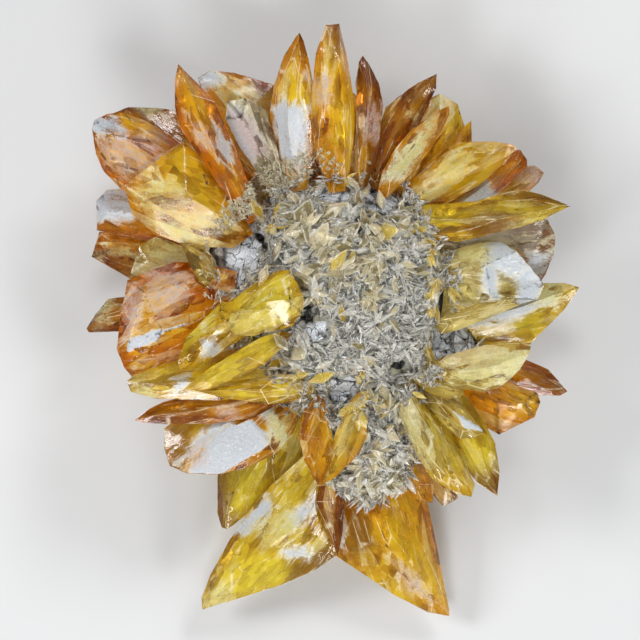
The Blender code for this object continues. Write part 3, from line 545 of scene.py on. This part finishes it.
grown("striated_block", "orange", 43,
      cell=0.5 * MM,
      frost=[[(-41, 15), (-39.6, 16.6), (-36.4, 16.2), (-34.4, 13.4), (-35.6, 12.2), (-41, 12.2)]])
grown("big_pink_plate", "orange", 44,
      pink=[[(-39.4, 24.6), (-36, 25.6), (-31, 25.4), (-30, 22), (-32, 19.6), (-36, 19.4), (-38.8, 22)]],
      frost=[[(-42, 27.4), (-41, 29), (-38.6, 29), (-37, 27), (-30.6, 26.6), (-30.4, 25.8), (-37.6, 25.8),
              (-41, 26.6)]],
      light=[[(-36, 29.2), (-32, 28), (-32, 27.4), (-36, 28.4)]])
grown("dark_wing", "brown", 45,
      cream=[[(-33, 30.8), (-32, 30.6), (-31, 29.8), (-32, 29.8)]],
      deep=[[(-34, 30.4), (-27, 29), (-25, 26), (-31, 26.6)]])
grown("frosted_lens", "amber", 46,
      cream=[[(-34.4, 16.4), (-28.4, 18.2), (-26, 15), (-27, 12.8), (-31.6, 12.4), (-33.4, 14.8)],
             [(-30, 11), (-24.3, 12.6), (-18.6, 11.6), (-18, 10), (-21, 8.8), (-27.4, 9.2)]],
      light=[[(-28.8, 22), (-27.4, 23.4), (-25, 21), (-21.4, 16.4), (-22.6, 14.8), (-25.8, 17.4)]])

# Back and sides: plain blades that finish the cluster where the photograph doesn't show it.
for number in range(1, 13):
    grown(f"back_blade_{number}", ("orange", "brown", "amber")[(number - 1) % 3], 50 + number)

# Heart: a lump of pale blue-grey clay, grown over with selenite that is silver-grey, and olive-cream in a
# thick clump at the top. The clay shows, cracked black, in a few places. Thin black lines, sunk a little into
# the solid, are painted shade in the gaps between pieces. Its larger fine crystals are part of the solid.
heart_solid = bmesh.new()
heart_solid.from_mesh(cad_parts["heart"].data)
heart_tree = BVHTree.FromBMesh(heart_solid)
heart_solid.free()
CLAY = {
    "clay": [[(-21.6, 7.6), (-15, 12), (-13.6, 9), (-14.6, 4), (-20, 4)],
             [(-20, 3.6), (-16.6, 4), (-16.4, 0.6), (-19.8, 0.4)],
             [(16.4, -7), (20, -5.6), (23.4, -9.6), (20, -13.6), (15.6, -11.6)],
             [(-1, -15), (3, -15.4), (2.4, -18.6), (-1.4, -18.4)],
             [(-4.4, 17.4), (0.6, 17.6), (1.4, 15.4), (-3.4, 15.4)],
             [(4.4, 17), (10, 17), (9, 13.6), (5, 13.8)],
             [(-5.2, -5.8), (-2.6, -5.4), (-2.4, -8.4), (-5, -8.2)]],
    "olive": [[(-8.4, 15.4), (2.6, 16), (3.6, 8), (0, 4), (-4.6, 5), (-8.6, 10)],
              [(1, 8), (9.6, 11.6), (9.6, 7), (3, 3.6)]],
    "gap_shade": [[(-9.4, 15.9), (-7.4, 17.7), (-4.6, 18.4), (-2, 20), (-1.9, 19.6), (-4.4, 17.8), (-7.2, 17.2),
               (-8.9, 15.5)],
              [(1.5, 21.4), (2.4, 21.4), (2.6, 17.6), (1.9, 17.4)],
              [(6.3, 20.2), (7.1, 20.2), (6.1, 16.9), (5.7, 17)],
              [(-6.2, -1.4), (-5.4, -2), (-4.6, -5), (-5.8, -5.4)],
              [(17.2, 0.2), (17.9, 0), (18, -7), (17.3, -6)],
              [(-14.2, 9.6), (-13.4, 9.2), (-12.4, 7.2), (-13, 7)],
              [(2.6, 10.6), (3.2, 10.8), (2.4, 8.4), (1.9, 8.5)],
              [(9, -13.2), (11, -12.4), (11.2, -13.2), (9.4, -14)]]}
CLAY = {key: [sides_of(outline) for outline in outlines] for key, outlines in CLAY.items()}
HEART_EDGE = 0.09 * MM
HEART_CELL = 0.8 * MM
bm, _ = worn("heart", HEART_EDGE, HEART_CELL, 0)
kinds = {key: bm.verts.layers.float.new(key) for key in CLAY}
for vert in bm.verts:
    plan = vert.co.xy / MM + 0.8 * noise.noise_vector(vert.co / MM * 0.7).xy
    for key, outlines in CLAY.items():
        vert[kinds[key]] = inside(outlines, plan, 0.5)
    rough = noise.noise(vert.co / MM * 0.9)
    vert.co += vert.normal * MM * (0.12 * rough - 0.12 - 0.5 * vert[kinds["gap_shade"]])
CRACK_WANDER = 0.0024
fin = Finish("heart_selenite")
place = fin.node("ShaderNodeTexCoord", out="Object")
clouds = fin.noise(place, 150.0, 5.0, 0.6)
grit = fin.noise(place, 1500.0, 5.0, 0.7, 1.5)
wander = fin.node("ShaderNodeTexNoise", None, {"Vector": place, "Scale": 500.0}, "Color")
wander = fin.node("ShaderNodeVectorMath", {"operation": "SCALE"}, {0: wander, 3: CRACK_WANDER})
bent = fin.node("ShaderNodeVectorMath", {"operation": "ADD"}, {0: place, 1: wander})
cracks = fin.node("ShaderNodeTexVoronoi", {"feature": "DISTANCE_TO_EDGE"}, {"Vector": bent, "Scale": 290.0})
edge, nook_shade = fin.attribute("edge"), fin.attribute("nook_shade")
olive = fin.attribute("olive") * 0.9 + fin.range(clouds, 0.52, 0.66) * 0.7
olive = fin.node("ShaderNodeClamp", None, {"Value": olive})
stone = fin.mix(olive, fin.mix(grit, (0.14, 0.13, 0.10), (0.62, 0.62, 0.54)),
                fin.mix(grit, (0.30, 0.24, 0.10), (0.74, 0.66, 0.38)))
# Painted shade: the nooks between the heart's crystals are darkened to near black.
stone = fin.mix(fin.range(nook_shade + (grit - 0.5) * 0.8, 0.35, 0.95) * 0.85, stone, (0.035, 0.03, 0.025))
# Painted highlight: the sharp edges of the heart's crystals are whitened.
stone = fin.mix(fin.range(edge + (grit - 0.5) * 0.5, 0.72, 1.0) * 0.85, stone, (0.93, 0.94, 0.93))
pale_clay = fin.mix(fin.range(grit, 0.35, 0.6), (0.58, 0.62, 0.69), (0.93, 0.95, 0.98))
clay = fin.mix(fin.range(cracks, 0.004, 0.032), (0.012, 0.012, 0.014), pale_clay)
stone = fin.mix(fin.range(fin.attribute("clay"), 0.35, 0.6), stone, clay)
# Painted shade: thin black lines in the gaps between pieces.
stone = fin.mix(fin.range(fin.attribute("gap_shade"), 0.35, 0.7), stone, (0.008, 0.007, 0.006))
bump = fin.node("ShaderNodeBump", None, {"Strength": 0.6, "Distance": 0.0005, "Height": grit})
surface = fin.glassy(stone, fin.range(grit, 0.3, 0.7, 0.12, 0.45), 0.2, bump)
finished(bm, "heart_crystals", fin.close(surface), "heart")

# Druse: lens crystals from half a millimetre to six millimetres long, strewn over the heart, tangled and
# overlapping, some dark and some pale, with a painted white highlight on their sharp rims. Gold ones stand at
# the roots of the blades, and a pale crust of short ones covers the roots at the upper left.


def spark(name, hollow, body, rim_highlight_colour):
    """Fine crystals: small glassy lenses, with a painted white highlight on their sharp rims."""
    fin = Finish(name)
    place = fin.node("ShaderNodeTexCoord", out="Object")
    grit = fin.noise(place, 1500.0, 3.0, 0.6)
    colour = fin.mix(fin.range(fin.attribute("tone") * 0.8 + grit * 0.4, 0.30, 0.90), hollow, body)
    # Painted highlight: the sharp rims are whitened.
    colour = fin.mix(fin.range(fin.attribute("rim"), 0.55, 1.0) * 0.9, colour, rim_highlight_colour)
    bump = fin.node("ShaderNodeBump", None, {"Strength": 0.3, "Distance": 0.0003, "Height": grit})
    return fin.close(fin.glassy(colour, fin.range(grit, 0.3, 0.7, 0.08, 0.30), 0.55, bump))


SPARKS = {
    "silver": spark("silver_druse", (0.16, 0.15, 0.11), (0.80, 0.77, 0.67), (0.98, 0.98, 0.96)),
    "cream": spark("cream_druse", (0.30, 0.24, 0.10), (0.80, 0.70, 0.44), (0.96, 0.93, 0.78)),
    "gold": spark("gold_druse", (0.56, 0.36, 0.03), (0.85, 0.64, 0.10), (0.94, 0.86, 0.50)),
}
everything = bmesh.new()
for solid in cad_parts.values():
    everything.from_mesh(solid.data)
whole = BVHTree.FromBMesh(everything)
everything.free()
low, high = cad_box


def lens_shape(sides, crown):
    """A lens crystal one unit long, lying along X: two low domes that meet in a sharp rim."""
    bm = bmesh.new()
    bmesh.ops.create_cone(bm, cap_ends=True, segments=sides, radius1=0.5, radius2=crown, depth=0.3)
    base = [face for face in bm.faces if face.calc_center_median().z < -0.14 and abs(face.normal.z) > 0.9]
    bmesh.ops.delete(bm, geom=base, context="FACES")
    bmesh.ops.translate(bm, vec=(0, 0, 0.15), verts=bm.verts)
    bmesh.ops.mirror(bm, geom=bm.verts[:] + bm.edges[:] + bm.faces[:], axis="Z", merge_dist=0.001)
    bmesh.ops.recalc_face_normals(bm, faces=bm.faces)
    rim = bm.verts.layers.float.new("rim")
    bm.verts.layers.float.new("tone")
    for vert in bm.verts:
        vert[rim] = 1.0 if abs(vert.co.z) < 0.01 else 0.0
        vert.co.y *= 1.0 - 1.2 * abs(vert.co.x)
    mesh = bpy.data.meshes.new("lens")
    bm.to_mesh(mesh)
    bm.free()
    return mesh


NEEDLE = lens_shape(4, 0.10)
DISC = lens_shape(8, 0.26)


BATCH = 60


class Druse:
    """One joined mesh of small crystals, filled in batches."""

    def __init__(self, name, finish, shape):
        self.name, self.finish, self.shape = name, finish, shape
        self.batches, self.bm, self.count = [], bmesh.new(), 0

    def add(self, middle, lie, face, length, width, thick, tone):
        right = lie.cross(face).normalized()
        face = right.cross(lie)
        basis = Matrix((lie * length, right * width, face * thick)).transposed().to_4x4()
        self.bm.from_mesh(self.shape)
        made = self.bm.verts[-len(self.shape.vertices):]
        bmesh.ops.transform(self.bm, matrix=Matrix.Translation(middle) @ basis, verts=made)
        layer = self.bm.verts.layers.float["tone"]
        for vert in made:
            vert[layer] = tone
        self.count += 1
        if self.count % BATCH == 0:
            self.store()

    def store(self):
        self.batches.append(bpy.data.meshes.new(self.name))
        self.bm.to_mesh(self.batches[-1])
        self.bm.clear()

    def close(self):
        self.store()
        for batch in self.batches:
            self.bm.from_mesh(batch)
        mesh = bpy.data.meshes.new(self.name)
        self.bm.to_mesh(mesh)
        self.bm.free()
        piece = bpy.data.objects.new(self.name, mesh)
        bpy.context.scene.collection.objects.link(piece)
        piece.data.materials.append(SPARKS[self.finish])
        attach(piece, "root")


# Each small crystal is rooted where a line from far above, or far out to the side, first meets a solid, and
# its tip stays clear of the floor
FAR = 0.08
DOWN = Vector((0, 0, -1))
FLOOR_GAP = 0.0022


def over_face(draw):
    return Vector((draw.uniform(-0.021, 0.023), draw.uniform(-0.037, 0.022), FAR)), DOWN


def over_clump(draw):
    return Vector((draw.gauss(-0.001, 0.007), draw.gauss(0.009, 0.007), FAR)), DOWN


def over_neck(draw):
    return Vector((draw.gauss(0.008, 0.0035), draw.uniform(-0.034, -0.019), FAR)), DOWN


def over_ring(draw):
    turn, reach = draw.uniform(0, math.tau), draw.uniform(14.0, 23.0) * MM
    return Vector((reach * math.cos(turn), reach * math.sin(turn), FAR)), DOWN


def over_roots(draw):
    turn, reach = math.radians(draw.gauss(132, 17)), draw.uniform(15.0, 24.0) * MM
    return Vector((reach * math.cos(turn), reach * math.sin(turn), FAR)), DOWN


def over_sides(draw):
    turn = draw.uniform(0, math.tau)
    aim = Vector((draw.uniform(-2, 5), draw.uniform(-22, 4), draw.uniform(3, 26))) * MM
    start = aim + FAR * Vector((math.cos(turn), math.sin(turn), draw.uniform(-0.3, 0.2)))
    return start, (aim - start).normalized()


def bared(point):
    """1 where the clay or a line of painted gap shade stays free of fine crystals."""
    return max(inside(CLAY[key], point.xy / MM, 1.0) for key in ("clay", "gap_shade"))


def strew(name, finish, shape, count, seed, spot, lengths, width, thick, lean, reach=1.2):
    """Strews small crystals over the heart, or up to reach from it, in fans of a few that share a root."""
    draw = random.Random(seed)
    druse = Druse(name, finish, shape)
    tries = 0
    while druse.count < count and tries < count * 10:
        tries += 1
        hit, normal, _, _ = whole.ray_cast(*spot(draw))
        if hit is None or heart_tree.find_nearest(hit)[3] > reach * MM:
            continue
        if normal.z > 0.3 and bared(hit) > draw.uniform(0.1, 0.6):
            continue
        swing = Vector([draw.gauss(0, 1) for _ in range(3)])
        base = (swing - normal * swing.dot(normal)).normalized()
        for _ in range(draw.choice((1, 3, 4, 6))):
            fan = (base + 0.45 * Vector([draw.gauss(0, 1) for _ in range(3)])).normalized()
            lie = (fan - normal * fan.dot(normal) + normal * draw.uniform(0.05, lean)).normalized()
            length = draw.uniform(*lengths) * MM
            middle = hit + lie * length * 0.36
            tip = hit + lie * length * 0.9
            if not all(low[axis] < tip[axis] < high[axis] for axis in range(3)) or tip.z < FLOOR_GAP:
                continue
            if normal.z > 0.3 and bared(tip) > 0.5:
                continue
            face = (normal + 0.6 * Vector([draw.gauss(0, 1) for _ in range(3)])).normalized()
            wide = length * width * draw.uniform(0.7, 1.3)
            druse.add(middle, lie, face, length, wide, length * thick, draw.random())
    druse.close()


strew("druse_silver", "silver", NEEDLE, 6500, 3, over_face, (1.2, 3.2), 0.17, 0.34, 0.36)
strew("druse_fine", "silver", NEEDLE, 5500, 9, over_face, (0.6, 1.6), 0.22, 0.4, 0.6)
strew("druse_discs", "silver", DISC, 900, 6, over_face, (2.0, 4.6), 0.30, 0.4, 0.4)
strew("druse_clump", "cream", DISC, 420, 4, over_clump, (2.6, 5.4), 0.32, 0.4, 0.3)
strew("druse_neck", "cream", DISC, 90, 13, over_neck, (3.0, 6.0), 0.34, 0.3, 0.3)
strew("druse_roots", "gold", DISC, 150, 7, over_ring, (2.2, 4.8), 0.30, 0.5, 0.7, 3.4)
strew("druse_crust", "silver", NEEDLE, 3600, 8, over_ring, (0.8, 2.0), 0.24, 0.4, 0.5, 3.6)
strew("druse_roots_left", "cream", NEEDLE, 4200, 12, over_roots, (0.5, 1.2), 0.34, 0.5, 0.5, 7.5)
strew("druse_sides", "cream", NEEDLE, 3600, 5, over_sides, (1.6, 4.2), 0.36, 0.5, 0.8)

# Lens crystals that stand out of the druse: thick gold and cream blades, placed where the photograph shows
# them, each rooted in the solid below it. Lengths are in mm.
STANDING = [  # x, y, direction in degrees, length, width, finish
    (-1.0, 4.4, 52, 6.0, 1.9, "gold"), (1.6, 5.0, 76, 4.6, 1.4, "gold"),
    (7.0, 9.4, 12, 5.0, 2.8, "gold"), (5.0, 5.2, 24, 5.2, 1.2, "cream"),
    (-0.8, 2.4, 176, 6.4, 1.1, "cream"), (0.4, -4.0, 96, 4.6, 1.3, "gold"),
    (14.8, 0.0, 100, 5.0, 1.5, "gold"), (-3.0, -14.4, 20, 5.0, 2.0, "gold"),
    (3.6, -13.0, 100, 3.8, 1.4, "gold"), (-6.4, -10.2, 40, 4.0, 2.4, "cream"),
    (-10.4, -12.0, 30, 4.2, 1.8, "gold"), (-5.8, 12.4, 70, 6.0, 3.4, "cream"),
    (-1.0, 12.6, 35, 6.4, 3.0, "cream"), (-3.4, 8.4, 60, 6.4, 3.2, "cream"),
    (-6.6, 7.4, 75, 5.4, 2.6, "cream"), (1.8, 9.6, 40, 5.0, 2.2, "cream"),
    (11.6, 13.6, 65, 4.2, 1.4, "gold"), (13.6, 10.4, 15, 4.4, 1.6, "gold"),
    (12.0, -15.4, 150, 4.0, 1.5, "gold"), (16.0, 3.4, 20, 4.8, 1.3, "cream"),
    (11.0, 4.0, 170, 3.4, 1.4, "cream"), (-12.6, 2.0, 70, 4.2, 1.4, "cream"),
    (-10.4, -8.6, 130, 4.0, 1.5, "cream"), (8.6, -4.4, 40, 3.8, 1.4, "cream"),
    (3.0, -9.2, 165, 3.6, 1.3, "cream"), (6.6, 14.4, 100, 4.0, 1.5, "cream"),
    (-14.6, 13.4, 120, 4.6, 1.6, "gold")]
# In mm: how high above its root a blade's middle stands, and how thick it is; then its share of extra width
LIFT = 0.8
THICK = 1.9
WIDEN = 1.2
for finish in ("gold", "cream"):
    druse = Druse(f"standing_{finish}", finish, DISC)
    draw = random.Random(11)
    for x, y, turn, length, width, kind in STANDING:
        hit, normal, _, _ = whole.ray_cast(Vector((x, y, FAR / MM)) * MM, DOWN)
        if kind != finish or hit is None:
            continue
        lie = Vector((math.cos(math.radians(turn)), math.sin(math.radians(turn)), 0.25)).normalized()
        face = Vector((draw.uniform(-0.4, 0.4), draw.uniform(-0.4, 0.4), 1)).normalized()
        wide = width * MM * WIDEN
        druse.add(hit + normal * LIFT * MM, lie, face, length * MM, wide, THICK * MM, draw.random())
    druse.close()

# Floor: a flat, plain, pale sheet that reaches well past what the camera sees.
FLOOR_REACH = 1.5
bm = bmesh.new()
bmesh.ops.create_grid(bm, x_segments=1, y_segments=1, size=FLOOR_REACH)
mesh = bpy.data.meshes.new("floor")
bm.to_mesh(mesh)
bm.free()
floor = bpy.data.objects.new("floor", mesh)
bpy.context.scene.collection.objects.link(floor)
fin = Finish("pale_floor")
floor.data.materials.append(fin.close(fin.node(
    "ShaderNodeBsdfPrincipled", None, {"Base Color": (0.66, 0.66, 0.66, 1.0), "Roughness": 0.7})))

# Light: plain soft studio boxes round the table, and a weak even sky.
SKY_STRENGTH = 0.16
LAMP_AIM = Vector((0, 0, 0.02))
world = bpy.data.worlds.new("studio")
bpy.context.scene.world = world
world.use_nodes = True
world.node_tree.nodes["Background"].inputs["Color"].default_value = (0.97, 0.98, 1.0, 1.0)
world.node_tree.nodes["Background"].inputs["Strength"].default_value = SKY_STRENGTH


def softbox(name, place, size, power, colour=(1.0, 1.0, 1.0)):
    """A square studio light that faces the cluster."""
    lamp = bpy.data.lights.new(name, "AREA")
    lamp.shape, lamp.size, lamp.energy, lamp.color = "SQUARE", size, power, colour
    item = bpy.data.objects.new(name, lamp)
    item.location = place
    item.rotation_euler = (LAMP_AIM - Vector(place)).to_track_quat("-Z", "Y").to_euler()
    bpy.context.scene.collection.objects.link(item)


softbox("box_back_right", (0.28, 0.45, 0.53), 0.21, 2.2, (0.96, 0.98, 1.0))
softbox("box_front", (-0.09, -0.34, 0.66), 0.19, 1.6, (0.96, 0.98, 1.0))
softbox("box_left", (-0.52, 0.12, 0.52), 0.22, 2.6)
softbox("box_low_front", (0.03, -0.68, 0.34), 0.18, 1.7)
softbox("box_low_right", (0.46, -0.45, 0.42), 0.16, 1.5)

# Camera: straight above the flower's face, with a long lens.
VIEW_MIDDLE = (-0.0034, -0.0051)
CAMERA_HEIGHT = 2.4
FACE_HEIGHT = 0.018
VIEW_WIDTH = 0.1088
camera = bpy.data.objects.new("camera", bpy.data.cameras.new("camera"))
camera.location = (*VIEW_MIDDLE, CAMERA_HEIGHT)
camera.data.sensor_width = 36.0
camera.data.lens = camera.data.sensor_width * (CAMERA_HEIGHT - FACE_HEIGHT) / VIEW_WIDTH
camera.data.clip_start, camera.data.clip_end = 0.01, 10.0
bpy.context.scene.collection.objects.link(camera)
bpy.context.scene.camera = camera
bpy.context.scene.view_settings.view_transform = "Standard"
bpy.context.scene.cycles.max_bounces = 10
bpy.context.scene.cycles.transmission_bounces = 10
